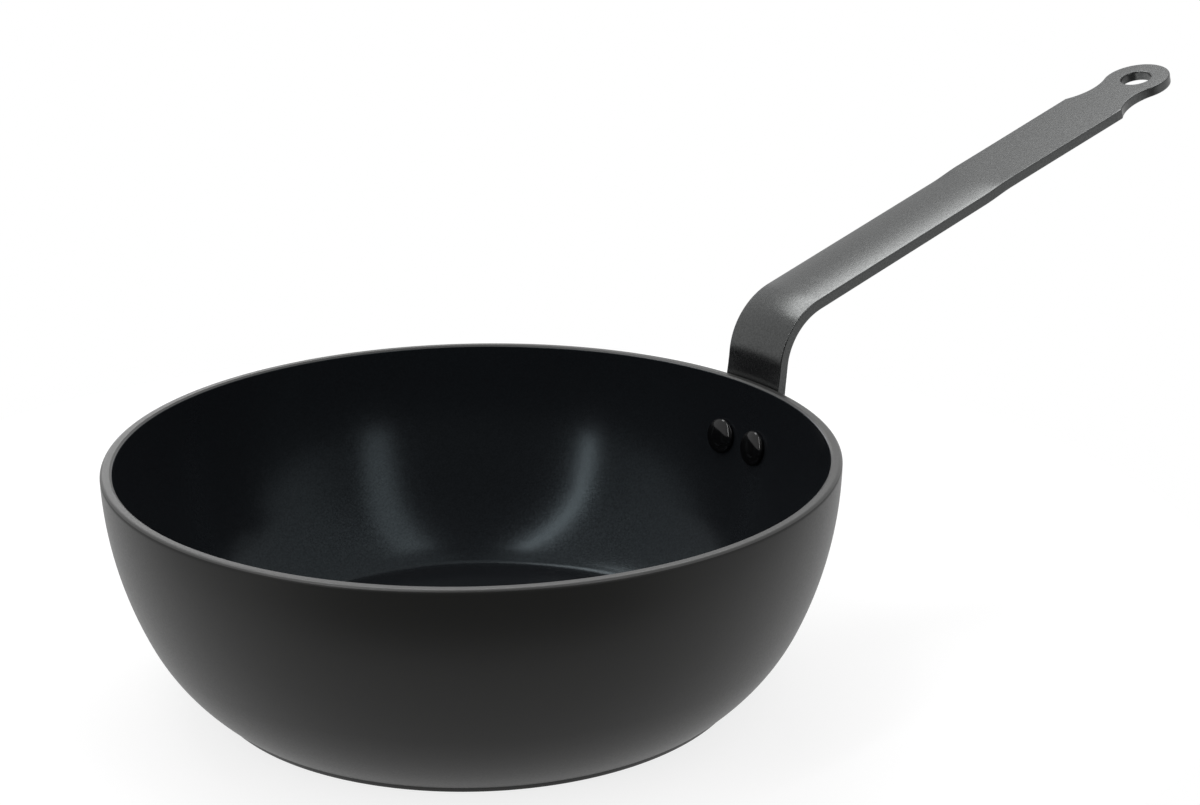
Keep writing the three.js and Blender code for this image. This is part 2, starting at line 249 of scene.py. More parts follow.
def vary(tree, shader, relief, levels, tones=None):
    """Let patterns vary a finish: its relief, levels such as its roughness, and the shades of its colour.

    relief is a pattern with its strength and its depth in millimetres. levels gives, for each socket, a
    pattern with the lowest and the highest value. tones is a pattern with a colour and two multiples of it.
    """
    pattern, strength, depth = relief
    bump = add_node(
        tree,
        "ShaderNodeBump",
        {"Strength": strength, "Distance": depth * MM, "Height": pattern.outputs["Fac"]},
    )
    tree.links.new(bump.outputs["Normal"], shader.inputs["Normal"])
    for socket, (pattern, low, high) in levels.items():
        level = add_node(
            tree,
            "ShaderNodeMapRange",
            {
                "Value": pattern.outputs["Fac"],
                "From Min": PATTERN_RANGE[0],
                "From Max": PATTERN_RANGE[1],
                "To Min": low,
                "To Max": high,
            },
        )
        tree.links.new(level.outputs["Result"], shader.inputs[socket])
    if tones:
        pattern, base, darker, lighter = tones
        low, high = ((*(share * times for share in base[:3]), 1.0) for times in (darker, lighter))
        # By number, because the node has its sockets once for each kind of value, under the same names.
        shade = add_node(
            tree, "ShaderNodeMix", {0: pattern.outputs["Fac"], 6: low, 7: high}, data_type="RGBA"
        )
        tree.links.new(shade.outputs[2], shader.inputs["Base Color"])


def matte_lacquer(name, finish, ior):
    """Matte black stoving lacquer, sprayed: its dry grain spreads every light wide and leaves a soft sheen.

    On the rim it is rubbed by lids and spoons, and shines more.
    """
    material, tree, shader, place = principled(name)
    shader.inputs["IOR"].default_value = ior
    cloud = add_node(tree, "ShaderNodeTexNoise", {"Vector": place, "Scale": per_mm(35), "Detail": 2})
    # The real grain is finer. It is drawn as coarse as it needs to show.
    grain = add_node(tree, "ShaderNodeTexNoise", {"Vector": place, "Scale": per_mm(0.7), "Detail": 3})
    vary(
        tree,
        shader,
        relief=(grain, 0.25, 0.03),
        levels={"Roughness": (grain, 0.36, 0.42)},
        tones=(cloud, finish.lacquer, 0.94, 1.06),
    )
    return material


def non_stick_coat(finish):
    """Black fluoropolymer non-stick coat, rolled and baked: a smooth low gloss over a slight ripple."""
    material, tree, shader, place = principled("black_non_stick_coat")
    shader.inputs["IOR"].default_value = 1.35
    shader.inputs["Specular Tint"].default_value = (0.75, 0.92, 1, 1)
    ripple = add_node(tree, "ShaderNodeTexNoise", {"Vector": place, "Scale": per_mm(2.5), "Detail": 2})
    # The real flecks are finer. They are drawn as coarse as they need to show.
    speck = add_node(tree, "ShaderNodeTexNoise", {"Vector": place, "Scale": per_mm(0.6), "Detail": 3})
    vary(
        tree,
        shader,
        relief=(ripple, 0.15, 0.02),
        levels={"Specular IOR Level": (speck, 0.3, 0.7), "Roughness": (speck, 0.17, 0.22)},
        tones=(speck, finish.non_stick, 0.6, 1.4),
    )
    return material


def powder_coat(finish):
    """Dark satin powder coat, fused in the oven: a grained skin that shines grey where it faces light."""
    material, tree, shader, place = principled("dark_powder_coat")
    shader.inputs["Base Color"].default_value = finish.powder_coat
    shader.inputs["IOR"].default_value = 1.87
    shader.inputs["Specular Tint"].default_value = (0.97, 1, 0.99, 1)
    peel = add_node(tree, "ShaderNodeTexNoise", {"Vector": place, "Scale": per_mm(1.1), "Detail": 2})
    # The real grain is finer. It is drawn as coarse as it needs to show.
    grain = add_node(tree, "ShaderNodeTexNoise", {"Vector": place, "Scale": per_mm(0.6), "Detail": 2})
    vary(
        tree,
        shader,
        relief=(peel, 0.2, 0.06),
        levels={"Specular IOR Level": (grain, 0.38, 0.62), "Roughness": (peel, 0.22, 0.28)},
    )
    return material


def rivet_coat(finish):
    """Glossy black coat on the rivets: small sharp lights on the domes, a little duller where it pooled."""
    material, tree, shader, place = principled("glossy_black_rivet_coat")
    pool = add_node(tree, "ShaderNodeTexNoise", {"Vector": place, "Scale": per_mm(4), "Detail": 2})
    vary(
        tree,
        shader,
        relief=(pool, 0.1, 0.03),
        levels={"Roughness": (pool, 0.08, 0.13)},
        tones=(pool, finish.rivet_coat, 0.85, 1.15),
    )
    return material


def turned_metal(name, base, pitch, roughness):
    """Bare metal turned on a lathe: fine rings about the pan's axis that draw the light into a bow tie.

    The rings' pitch is in millimetres. Real ones are finer, and these are as coarse as they need to show.
    """
    material, tree, shader, place = principled(name)
    shader.inputs["Metallic"].default_value = 1.0
    rings = add_node(
        tree,
        "ShaderNodeTexWave",
        {"Vector": place, "Scale": per_mm(pitch) / (2 * pi), "Distortion": 0.6, "Detail": 3},
        wave_type="RINGS",
        rings_direction="Z",
    )
    cloud = add_node(tree, "ShaderNodeTexNoise", {"Vector": place, "Scale": per_mm(20), "Detail": 3})
    vary(
        tree,
        shader,
        relief=(rings, 0.2, 0.03),
        levels={"Roughness": (rings, roughness, roughness + 0.1)},
        tones=(cloud, base, 0.9, 1.05),
    )
    return material


def new_object(name, mesh):
    """An object of a mesh, in the scene."""
    made = bpy.data.objects.new(name, mesh)
    bpy.context.scene.collection.objects.link(made)
    return made


def bake(obj):
    """Turn an object and its modifiers into a plain mesh, without empty material slots."""
    graph = bpy.context.evaluated_depsgraph_get()
    final = obj.evaluated_get(graph)
    mesh = bpy.data.meshes.new_from_object(final, preserve_all_data_layers=True, depsgraph=graph)
    mesh.name = obj.name
    obj.modifiers.clear()
    obj.data = mesh
    for number in reversed(range(len(mesh.materials))):
        if mesh.materials[number] is None:
            mesh.materials.pop(index=number)


def grow(obj, tree, **values):
    """Give an object a Geometry Nodes modifier, with the tree's inputs filled by their names."""
    modifier = obj.modifiers.new(tree.name, "NODES")
    modifier.node_group = tree
    for socket in tree.interface.items_tree:
        if socket.in_out == "INPUT" and socket.name in values:
            modifier[socket.identifier] = values[socket.name]


def new_tree(name, **inputs):
    """A new geometry tree, with further inputs by their kinds, and the sockets of all it is given."""
    tree = bpy.data.node_groups.new(name, "GeometryNodeTree")
    tree.interface.new_socket("Geometry", in_out="INPUT", socket_type="NodeSocketGeometry")
    for socket, kind in inputs.items():
        tree.interface.new_socket(socket, in_out="INPUT", socket_type=f"NodeSocket{kind}")
    tree.interface.new_socket("Geometry", in_out="OUTPUT", socket_type="NodeSocketGeometry")
    return tree, add_node(tree, "NodeGroupInput").outputs


def turning_tree():
    """The tree that turns a profile, drawn in X and Y, once round the Z axis.

    The faces take the number of their line before the lines are joined, where two lines share a point.
    """
    tree, given = new_tree("Turning", Sides="Int")
    profile = add_node(tree, "GeometryNodeMeshToCurve", {"Mesh": given["Geometry"]})
    lathe = add_node(
        tree, "GeometryNodeCurvePrimitiveCircle", {"Resolution": given["Sides"], "Radius": LATHE}
    )
    upright = add_node(tree, "GeometryNodeSetCurveNormal", {"Curve": lathe.outputs["Curve"]}, mode="Z_UP")
    skin = add_node(
        tree,
        "GeometryNodeCurveToMesh",
        {"Curve": upright.outputs["Curve"], "Profile Curve": profile.outputs["Curve"]},
    )
    line = add_node(tree, "GeometryNodeInputNamedAttribute", {"Name": "line"}, data_type="INT")
    marked = add_node(
        tree,
        "GeometryNodeStoreNamedAttribute",
        {"Geometry": skin.outputs["Mesh"], "Name": "line", "Value": line.outputs["Attribute"]},
        data_type="INT",
        domain="FACE",
    )
    closed = add_node(
        tree, "GeometryNodeMergeByDistance", {"Geometry": marked.outputs["Geometry"], "Distance": WELD}
    )
    outward = add_node(tree, "GeometryNodeFlipFaces", {"Mesh": closed.outputs["Geometry"]})
    add_node(tree, "NodeGroupOutput", {"Geometry": outward.outputs["Mesh"]})
    return tree


def profile_mesh(name, lines):
    """Open lines of (radius, height) points as edges, each marked with its number in the attribute line."""
    points = [(radius - LATHE, -height, 0) for line in lines for radius, height in line]
    marks = [number for number, line in enumerate(lines) for _ in line]
    edges = [(i, i + 1) for i in range(len(points) - 1) if marks[i] == marks[i + 1]]
    mesh = bpy.data.meshes.new(name)
    mesh.from_pydata(points, edges, [])
    mesh.attributes.new("line", "INT", "POINT").data.foreach_set("value", marks)
    return mesh


def arc_to(start, heading, end, count):
    """Points after start on the arc that leaves it with a heading and ends at end, and the last heading."""
    chord = end - start
    swing = atan2(chord.y, chord.x) - heading
    half = atan2(sin(swing), cos(swing))
    points = []
    for step in range(1, count + 1):
        share = step / count
        reach = chord.length * (sin(half * share) / sin(half) if half else share)
        points.append(start + reach * Vector((cos(heading + half * share), sin(heading + half * share))))
    return points, heading + 2 * half


def worked_out(pan):
    """Places that follow from the sizes: the wall's arc, the rivets' seats and lengths along the strip."""
    bowl, handle, rivet = pan.bowl, pan.handle, pan.rivet
    at = SimpleNamespace()
    drop = bowl.height - bowl.belly_height
    at.belt_arc = (bowl.belly_inset**2 + drop**2) / (2 * bowl.belly_inset)
    at.belt_centre = bowl.rim_radius - at.belt_arc
    at.wall_end = bowl.rim_radius - bowl.foot_inset
    at.rivet_tilt = asin(rivet.depth / at.belt_arc)
    at.rivet_wall = at.belt_centre + at.belt_arc * cos(at.rivet_tilt)
    at.rivet_turn = asin(rivet.spacing / 2 / at.rivet_wall)
    at.root_arc = at.belt_arc + rivet.clearance
    at.root_angle = asin((rivet.depth + rivet.margin) / at.root_arc)
    at.root_width = rivet.spacing + 2 * rivet.margin
    at.root_run = at.root_arc * (at.root_angle - handle.root_lean)
    straight = at.root_arc * sin(handle.root_lean) + handle.bend_rise
    at.bend_start = at.root_run + straight / cos(handle.root_lean)
    at.arm_start = at.bend_start + handle.bend_radius * (pi / 2 - handle.root_lean - handle.arm_rise)
    at.crown_stop = at.arm_start + handle.crown_run
    at.flat_start = at.crown_stop + handle.crown_fade
    at.eye_radius = handle.eye_hole_radius + handle.eye_ring
    return at


def bowl_lines(pan, at):
    """The bowl's cross-section in four lines: its underside, its outside, its rim and its inside."""
    bowl, plate, clearance = pan.bowl, pan.plate, pan.rivet.clearance
    recess = plate.radius + clearance
    foot = at.wall_end - bowl.foot_step
    foot_edge = Vector((foot - bowl.foot_draft - bowl.foot_bevel, 0))
    underside = [
        Vector((0, plate.thickness)),
        Vector((recess, plate.thickness)),
        Vector((recess, 0)),
        foot_edge,
    ]

    rim_edge = Vector((bowl.rim_radius, bowl.height))
    belly = Vector((bowl.rim_radius - bowl.belly_inset, bowl.belly_height))
    wall_foot = Vector((at.wall_end, bowl.foot_height))
    upper, heading = arc_to(rim_edge, -pi / 2, belly, ARC_STEPS)
    lower, _ = arc_to(belly, heading, wall_foot, ARC_STEPS)
    crest = Vector((bowl.rim_radius, bowl.height - bowl.rim_outer_round))
    brow = Vector((bowl.rim_radius - bowl.rim_outer_round, bowl.height))
    crown, _ = arc_to(crest, pi / 2, brow, ROUND_STEPS)
    rubbed = ROUND_STEPS // 4  # the point of the rounding where the rubbed rim begins
    throat = Vector((bowl.rim_radius - bowl.wall, bowl.height - bowl.rim_fall - bowl.rim_edge))
    lip = throat + Vector((bowl.rim_edge, bowl.rim_edge))
    ridge = Vector((throat.x + bowl.rim_slope, bowl.height))
    outside = [
        foot_edge,
        Vector((foot - bowl.foot_draft, bowl.foot_bevel)),
        Vector((foot, bowl.foot_height - bowl.foot_step / 2)),
        *reversed(upper + lower),
        crest,
        *crown[: rubbed + 1],
    ]
    rim = [*crown[rubbed:], ridge, lip]

    square = heading - pi / 2
    inner_belly = belly + bowl.wall * Vector((cos(square), sin(square)))
    inner_upper, heading = arc_to(Vector((throat.x, bowl.height)), -pi / 2, inner_belly, ARC_STEPS)
    floor_height = plate.thickness + bowl.floor
    floor_edge = Vector((at.wall_end - bowl.corner, floor_height))
    inner_lower, heading = arc_to(inner_belly, heading, floor_edge, ARC_STEPS)
    fillet_top = floor_edge - bowl.floor_fillet * Vector((cos(heading), sin(heading)))
    fillet_end = floor_edge - Vector((bowl.floor_fillet, 0))
    wall_points = [point for point in inner_upper + inner_lower if point.y > fillet_top.y]
    inside = [
        lip,
        throat,
        *wall_points,
        fillet_top,
        *arc_to(fillet_top, heading, fillet_end, ROUND_STEPS)[0],
        Vector((fillet_end.x / 2, floor_height)),
        Vector((0, floor_height)),
    ]
    return underside, outside, rim, inside


def bowl_tree(turning):
    """The tree that turns the bowl's four lines and gives each its own finish."""
    finishes = ("Underside", "Outside", "Rim", "Inside")
    tree, given = new_tree("Turned bowl", Sides="Int", **dict.fromkeys(finishes, "Material"))
    turned = add_node(
        tree,
        "GeometryNodeGroup",
        {"Geometry": given["Geometry"], "Sides": given["Sides"]},
        node_tree=turning,
    )
    skin = add_node(tree, "GeometryNodeRealizeInstances", {"Geometry": turned.outputs["Geometry"]})
    line = add_node(tree, "GeometryNodeInputNamedAttribute", {"Name": "line"}, data_type="INT")
    for number, finish in enumerate(finishes):
        chosen = add_node(
            tree,
            "FunctionNodeCompare",
            {2: line.outputs["Attribute"], 3: number},
            data_type="INT",
            operation="EQUAL",
        )
        skin = add_node(
            tree,
            "GeometryNodeSetMaterial",
            {
                "Geometry": skin.outputs["Geometry"],
                "Selection": chosen.outputs["Result"],
                "Material": given[finish],
            },
        )
    add_node(tree, "NodeGroupOutput", {"Geometry": skin.outputs["Geometry"]})
    return tree


def rivet_tree(turning):
    """The tree that turns a rivet, sets it square on the wall and repeats it on both sides of the handle."""
    tree, given = new_tree(
        "Rivet pair", Sides="Int", Seat="Vector", Tilt="Float", Turn="Float", Finish="Material"
    )
    turned = add_node(
        tree,
        "GeometryNodeGroup",
        {"Geometry": given["Geometry"], "Sides": given["Sides"]},
        node_tree=turning,
    )
    lean = add_node(tree, "ShaderNodeCombineXYZ", {"Y": given["Tilt"]})
    seated = add_node(
        tree,
        "GeometryNodeTransform",
        {
            "Geometry": turned.outputs["Geometry"],
            "Translation": given["Seat"],
            "Rotation": lean.outputs["Vector"],
        },
    )
    number = add_node(tree, "GeometryNodeInputIndex")
    # Numbers 0 and 1 become sides -1 and 1.
    side = add_node(
        tree, "ShaderNodeMath", {0: number.outputs["Index"], 1: 2, 2: -1}, operation="MULTIPLY_ADD"
    )
    turn = add_node(
        tree, "ShaderNodeMath", {0: side.outputs["Value"], 1: given["Turn"]}, operation="MULTIPLY"
    )
    round_axis = add_node(tree, "ShaderNodeCombineXYZ", {"Z": turn.outputs["Value"]})
    places = add_node(tree, "GeometryNodePoints", {"Count": 2})
    pair = add_node(
        tree,
        "GeometryNodeInstanceOnPoints",
        {
            "Points": places.outputs["Points"],
            "Instance": seated.outputs["Geometry"],
            "Rotation": round_axis.outputs["Vector"],
        },
    )
    real = add_node(tree, "GeometryNodeRealizeInstances", {"Geometry": pair.outputs["Instances"]})
    finished = add_node(
        tree,
        "GeometryNodeSetMaterial",
        {"Geometry": real.outputs["Geometry"], "Material": given["Finish"]},
    )
    add_node(tree, "NodeGroupOutput", {"Geometry": finished.outputs["Geometry"]})
    return tree


def rivet_pair(name, pan, at, outline, finish):
    """Two like turned pieces on the rivets' seats, from an outline of (radius, distance out of the wall)."""
    pair = new_object(name, profile_mesh(name, [outline]))
    grow(
        pair,
        rivet_tree(turning_tree()),
        Sides=pan.rivet.sides,
        Seat=(at.rivet_wall, 0, pan.bowl.height - pan.rivet.depth),
        Tilt=pi / 2 + at.rivet_tilt,
        Turn=at.rivet_turn,
        Finish=finish,
    )
    bake(pair)
    return pair


def drill(obj, pan, at):
    """Cut the rivets' holes through a piece, with the piece's first finish in them."""
    radius = pan.rivet.shank_radius + pan.rivet.clearance
    reach = 2 * (pan.bowl.wall + pan.handle.thickness)
    outline = [Vector((0, -reach)), Vector((radius, -reach)), Vector((radius, reach)), Vector((0, reach))]
    holes = rivet_pair("rivet_holes", pan, at, outline, obj.data.materials[0])
    cut = obj.modifiers.new("Rivet holes", "BOOLEAN")
    cut.object = holes
    cut.operation = "DIFFERENCE"
    cut.solver = "EXACT"
    bake(obj)
    bpy.data.objects.remove(holes)


def smooth(obj, crease):
    """Shade a piece smooth, apart from edges sharper than the crease, with the wide faces leading."""
    obj.data.shade_smooth()
    obj.data.set_sharp_from_angle(angle=crease)
    weighted = obj.modifiers.new("Face weights", "WEIGHTED_NORMAL")
    weighted.keep_sharp = True
    bake(obj)


def hand_over(obj, slot, *nodes):
    """Let a finished piece ride on the pan in place of its solids."""
    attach(obj, "root")
    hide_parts(*nodes)


class SAUCIER_OT_bowl(bpy.types.Operator):
    """Turn the bowl, with its lacquer, its non-stick coat and its bare underside"""

    bl_idname = "saucier.bowl"
    bl_label = "Bowl"

    def execute(self, context):
        pan = context.scene.saucier
        at = worked_out(pan)
        bowl = new_object("turned_bowl", profile_mesh("turned_bowl", bowl_lines(pan, at)))
        grow(
            bowl,
            bowl_tree(turning_tree()),
            Sides=pan.bowl.sides,
            Underside=turned_metal("turned_aluminium", pan.finish.aluminium, pitch=0.8, roughness=0.3),
            Outside=matte_lacquer("matte_black_lacquer", pan.finish, ior=1.33),
            Rim=matte_lacquer("rubbed_black_lacquer", pan.finish, ior=1.68),
            Inside=non_stick_coat(pan.finish),
        )
        bake(bowl)
        drill(bowl, pan, at)
        smooth(bowl, crease=radians(35))
        hand_over(bowl, "bowl_lacquer", "bowl")
        return {"FINISHED"}


def plate_tree():
    """The tree that cuts a round plate with rings of round holes, each ring with six more than the last."""
    tree, given = new_tree(
        "Perforated plate",
        Radius="Float",
        Thickness="Float",
        Hole="Float",
        Pitch="Float",
        Rings="Int",
        Finish="Material",
    )
    outline = add_node(
        tree, "GeometryNodeCurvePrimitiveCircle", {"Resolution": PLATE_SIDES, "Radius": given["Radius"]}
    )
    hole = add_node(
        tree, "GeometryNodeCurvePrimitiveCircle", {"Resolution": PERFORATION_SIDES, "Radius": given["Hole"]}
    )

    repeat_in = add_node(tree, "GeometryNodeRepeatInput", {"Iterations": given["Rings"]})
    repeat_out = tree.nodes.new("GeometryNodeRepeatOutput")
    repeat_in.pair_with_output(repeat_out)
    row = add_node(tree, "ShaderNodeMath", {0: repeat_in.outputs["Iteration"], 1: 1}, operation="ADD")
    count = add_node(tree, "ShaderNodeMath", {0: row.outputs["Value"], 1: 6}, operation="MULTIPLY")
    reach = add_node(
        tree, "ShaderNodeMath", {0: row.outputs["Value"], 1: given["Pitch"]}, operation="MULTIPLY"
    )
    ring = add_node(
        tree,
        "GeometryNodeCurvePrimitiveCircle",
        {"Resolution": count.outputs["Value"], "Radius": reach.outputs["Value"]},
    )
    punched = add_node(
        tree,
        "GeometryNodeInstanceOnPoints",
        {"Points": ring.outputs["Curve"], "Instance": hole.outputs["Curve"]},
    )
    joined = add_node(tree, "GeometryNodeJoinGeometry")
    tree.links.new(repeat_in.outputs["Geometry"], joined.inputs["Geometry"])
    tree.links.new(punched.outputs["Instances"], joined.inputs["Geometry"])
    tree.links.new(joined.outputs["Geometry"], repeat_out.inputs["Geometry"])

    drawing = add_node(tree, "GeometryNodeJoinGeometry")
    tree.links.new(outline.outputs["Curve"], drawing.inputs["Geometry"])
    tree.links.new(repeat_out.outputs["Geometry"], drawing.inputs["Geometry"])
    curves = add_node(tree, "GeometryNodeRealizeInstances", {"Geometry": drawing.outputs["Geometry"]})
    sheet = add_node(tree, "GeometryNodeFillCurve", {"Curve": curves.outputs["Geometry"]})
    raised = add_node(
        tree,
        "GeometryNodeExtrudeMesh",
        {"Mesh": sheet.outputs["Mesh"], "Offset Scale": given["Thickness"], "Individual": False},
    )
    below = add_node(tree, "GeometryNodeFlipFaces", {"Mesh": sheet.outputs["Mesh"]})
    both = add_node(tree, "GeometryNodeJoinGeometry")
    tree.links.new(raised.outputs["Mesh"], both.inputs["Geometry"])
    tree.links.new(below.outputs["Mesh"], both.inputs["Geometry"])
    closed = add_node(
        tree, "GeometryNodeMergeByDistance", {"Geometry": both.outputs["Geometry"], "Distance": WELD}
    )
    real = add_node(tree, "GeometryNodeRealizeInstances", {"Geometry": closed.outputs["Geometry"]})
    finished = add_node(
        tree, "GeometryNodeSetMaterial", {"Geometry": real.outputs["Geometry"], "Material": given["Finish"]}
    )
    add_node(tree, "NodeGroupOutput", {"Geometry": finished.outputs["Geometry"]})
    return tree


class SAUCIER_OT_base_plate(bpy.types.Operator):
    """Punch the steel plate that is let into the underside"""

    bl_idname = "saucier.base_plate"
    bl_label = "Base plate"

    def execute(self, context):
        pan = context.scene.saucier
        sizes = pan.plate
        plate = new_object("perforated_plate", bpy.data.meshes.new("perforated_plate"))
        grow(
            plate,
            plate_tree(),
            Radius=sizes.radius,
            Thickness=sizes.thickness,
            Hole=sizes.hole_radius,
            Pitch=sizes.ring_pitch,
            Rings=int((sizes.radius - 2 * sizes.hole_radius) / sizes.ring_pitch),
            Finish=turned_metal("brushed_stainless_steel", pan.finish.steel, pitch=0.5, roughness=0.26),
        )
        bake(plate)
        smooth(plate, crease=radians(35))
        hand_over(plate, "base_steel", "base_plate")
        return {"FINISHED"}


def ease(value, start, end):
    """A smooth step from 0 at start to 1 at end."""
    share = min(max((value - start) / (end - start), 0), 1)
    return share * share * (3 - 2 * share)


def strip_half(pan, at, run):
    """Half the strip's width at a length along it, up to the neck."""
    handle = pan.handle
    flare = at.root_width + (handle.width - at.root_width) * ease(run, pan.rivet.margin, at.root_run)
    short = max(handle.root_corner - run, 0)
    rounding = handle.root_corner - sqrt(handle.root_corner**2 - short**2)
    tail = ease(run, at.flat_start, at.arm_start + handle.arm_reach - at.eye_radius)
    return flare / 2 - rounding + (handle.tail_width - handle.width) / 2 * tail


def strip_face(pan, at, run):
    """The strip's face at a length along it, in the plane of the handle: x, z and heading."""
    handle, height = pan.handle, pan.bowl.height
    if run < at.root_run:
        dip = at.root_angle - run / at.root_arc
        return at.belt_centre + at.root_arc * cos(dip), height - at.root_arc * sin(dip), pi / 2 - dip
    leave = pi / 2 - handle.root_lean
    up = min(run, at.bend_start) - at.root_run
    x = at.belt_centre + at.root_arc * cos(handle.root_lean) + up * cos(leave)
    z = height - at.root_arc * sin(handle.root_lean) + up * sin(leave)
    if run < at.bend_start:
        return x, z, leave
    heading = leave - (min(run, at.arm_start) - at.bend_start) / handle.bend_radius
    along = max(run - at.arm_start, 0)
    x += handle.bend_radius * (sin(leave) - sin(heading)) + along * cos(heading)
    z += handle.bend_radius * (cos(heading) - cos(leave)) + along * sin(heading)
    return x, z, heading


def formed(pan, at, flat):
    """Where a point of the flat strip, laid out along X, across Y and below Z, ends up on the formed handle.

    It wraps round the wall, the bend crowns its face, and part way along the arm the face turns flat.
    """
    run, across, depth = flat.x, flat.y, -flat.z
    x, z, heading = strip_face(pan, at, max(run, 0))
    wrap = 1 - ease(run, at.root_run, at.bend_start)
    share = min(max((run - at.arm_start) / pan.handle.crown_run, 0), 1)
    crown = pan.handle.crown + (pan.handle.crown_end - pan.handle.crown) * share
    crown *= ease(run, at.root_run, at.arm_start) * (1 - ease(run, at.crown_stop, at.flat_start))
    half = strip_half(pan, at, max(run, 0))
    below = depth + crown * (across / half) ** 2
    reach = x + depth * sin(heading)
    bent = Vector((x + below * sin(heading), across, z - below * cos(heading)))
    wrapped = Vector((reach * cos(across / x), reach * sin(across / x), z - depth * cos(heading)))
    return bent.lerp(wrapped, wrap)


def tail_side(pan, at):
    """One side of the strip, as (run, across), from its flat part past the neck to the tip of the eye."""
    handle = pan.handle
    neck_side = at.eye_radius - handle.neck_inset + handle.neck_radius
    neck_back = sqrt((at.eye_radius + handle.neck_radius) ** 2 - neck_side**2)
    neck_run = at.arm_start + handle.arm_reach - neck_back
    sweep = atan2(neck_back, neck_side)
    edge = handle.tail_width / 2
    # The edge widens a little along the strip, so a few rounds settle where it meets the neck's curve.
    for _ in range(4):
        corner = asin((neck_side - edge) / handle.neck_radius)
        corner_run = neck_run - handle.neck_radius * cos(corner)
        edge = strip_half(pan, at, corner_run)
    side = []
    for step in range(1, ARC_STEPS + 1):
        run = at.flat_start + (corner_run - at.flat_start) * step / ARC_STEPS
        side.append((run, strip_half(pan, at, run)))
    for step in range(1, ARC_STEPS + 1):
        turn = pi + corner + (pi / 2 + sweep - corner) * step / ARC_STEPS
        side.append((neck_run + handle.neck_radius * cos(turn), neck_side + handle.neck_radius * sin(turn)))
    eye = at.arm_start + handle.arm_reach
    for step in range(1, EYE_STEPS + 1):
        turn = (pi / 2 + sweep) * (1 - step / EYE_STEPS)
        side.append((eye + at.eye_radius * cos(turn), at.eye_radius * sin(turn)))
    return side


def strip_blank(pan, at):
    """The flat strip before it is formed: cut out, punched and with its edges rounded, as a bmesh."""
    handle = pan.handle
    columns = 14
    # Each stretch of the strip: where it starts and ends, and its facets.
    stretches = [
        (handle.root_corner, at.root_run, 24),
        (at.root_run, at.bend_start, 8),
        (at.bend_start, at.arm_start, 40),
        (at.arm_start, at.crown_stop, 30),
        (at.crown_stop, at.flat_start, 10),
    ]
    runs = [handle.root_corner * (1 - cos(pi / 2 * step / DOME_STEPS)) for step in range(DOME_STEPS + 1)]
    for start, end, count in stretches:
        runs += [start + (end - start) * step / count for step in range(1, count + 1)]

    blank = bmesh.new()
    rows = []
    for run in runs:
        half = strip_half(pan, at, run)
        rows.append([blank.verts.new((run, half * (2 * i / columns - 1), 0)) for i in range(columns + 1)])
    for low, high in zip(rows, rows[1:]):
        for i in range(columns):
            blank.faces.new((low[i], high[i], high[i + 1], low[i + 1]))

    side = tail_side(pan, at)
    right = [blank.verts.new((run, -across, 0)) for run, across in side]
    left = [blank.verts.new((run, across, 0)) for run, across in side[:-1]]
    border = rows[-1] + left + right[::-1]
    eye = at.arm_start + handle.arm_reach
    turns = [2 * pi * step / EYE_HOLE_SIDES for step in range(EYE_HOLE_SIDES)]
    hole = [
        blank.verts.new((eye + handle.eye_hole_radius * cos(turn), handle.eye_hole_radius * sin(turn), 0))
        for turn in turns
    ]
    edges = [
        blank.edges.get((a, b)) or blank.edges.new((a, b))
        for loop in (border, hole)
        for a, b in zip(loop, loop[1:] + loop[:1])
    ]
    bmesh.ops.triangle_fill(blank, edges=edges, use_beauty=True, normal=(0, 0, 1))

    back = bmesh.ops.extrude_face_region(blank, geom=blank.faces[:], use_keep_orig=True)["geom"]
    for vert in back:
        if isinstance(vert, bmesh.types.BMVert):
            vert.co.z -= handle.thickness
    bmesh.ops.recalc_face_normals(blank, faces=blank.faces)
    rims = [edge for edge in blank.edges if edge.calc_face_angle(0) > radians(60)]
    bmesh.ops.bevel(
        blank, geom=rims, offset=handle.edge, offset_type="OFFSET", segments=4, profile=0.5, affect="EDGES"
    )
    return blank


class SAUCIER_OT_handle(bpy.types.Operator):
    """Cut the strip, form it round the wall and over the rim, and coat it"""

    bl_idname = "saucier.handle"
    bl_label = "Handle"

    def execute(self, context):
        pan = context.scene.saucier
        at = worked_out(pan)
        blank = strip_blank(pan, at)
        for vert in blank.verts:
            vert.co = formed(pan, at, vert.co)
        bmesh.ops.recalc_face_normals(blank, faces=blank.faces)
        mesh = bpy.data.meshes.new("strip_handle")
        blank.to_mesh(mesh)
        blank.free()
        mesh.materials.append(powder_coat(pan.finish))
        handle = new_object("strip_handle", mesh)
        drill(handle, pan, at)
        smooth(handle, crease=radians(34))
        hand_over(handle, "handle_coat", "handle")
        return {"FINISHED"}


def head_outline(rivet, radius, height):
    """Half a head's outline, from its upright edge over the dome to its flat crown."""
    crown = radius * rivet.head_crown
    dome = height - rivet.head_edge
    turns = [pi / 2 * step / DOME_STEPS for step in range(DOME_STEPS + 1)]
    return [
        Vector((crown + (radius - crown) * cos(turn), rivet.head_edge + dome * sin(turn))) for turn in turns
    ]


